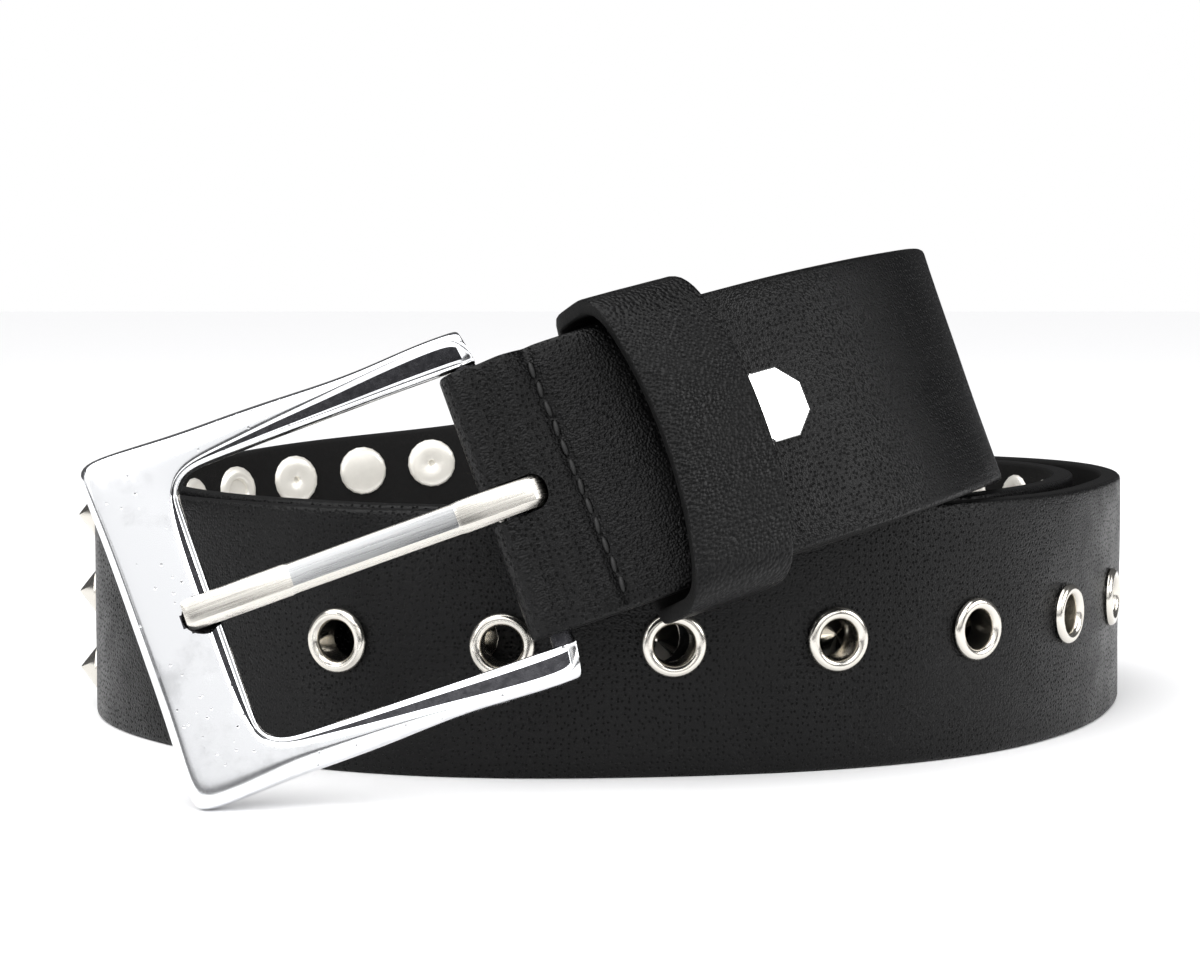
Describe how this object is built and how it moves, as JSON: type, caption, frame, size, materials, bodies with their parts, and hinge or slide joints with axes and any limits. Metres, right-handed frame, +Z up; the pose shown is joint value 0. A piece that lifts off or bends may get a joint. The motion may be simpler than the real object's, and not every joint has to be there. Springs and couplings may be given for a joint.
{
  "type": "studded leather belt",
  "caption": "Rolled black leather belt with rows of pointed studs, a square prong buckle, a keeper loop and a row of eyelets, standing on its edge.",
  "frame": {"origin": "on the ground, under the middle of the box round the standing, rolled belt", "axes": "+X to the right as seen from the buckle's side, +Y away from the buckle's side, +Z up"},
  "size_m": [0.1752, 0.1538, 0.0753],
  "materials": {
    "leather": "black, fine grain with pores, low sheen",
    "chrome": "polished, lightly pitted and scuffed",
    "steel": "satin, brushed along its length",
    "nickel": "warm, softly polished nickel plate"
  },
  "bodies": {
    "strap": {"studded_strap": "leather", "keeper": "leather", "lap_rivet": "nickel", "eyelet_1": "nickel", "eyelet_2": "nickel", "eyelet_3": "nickel", "eyelet_4": "nickel", "eyelet_5": "nickel", "eyelet_6": "nickel", "eyelet_7": "nickel"},
    "buckle": {"buckle_frame": "chrome"},
    "prong": {"buckle_prong": "steel"}
  },
  "joints": [
    {"name": "frame_swing", "type": "hinge", "parent": "strap", "child": "buckle", "pos_m": [-0.01315, -0.06486, 0.04047], "axis": [-0.342, 0.1472, 0.9281], "range_deg": [0, 30]},
    {"name": "prong_swing", "type": "hinge", "parent": "buckle", "child": "prong", "pos_m": [-0.01315, -0.06486, 0.04047], "axis": [-0.342, 0.1472, 0.9281], "range_deg": [0, 75]}
  ]
}
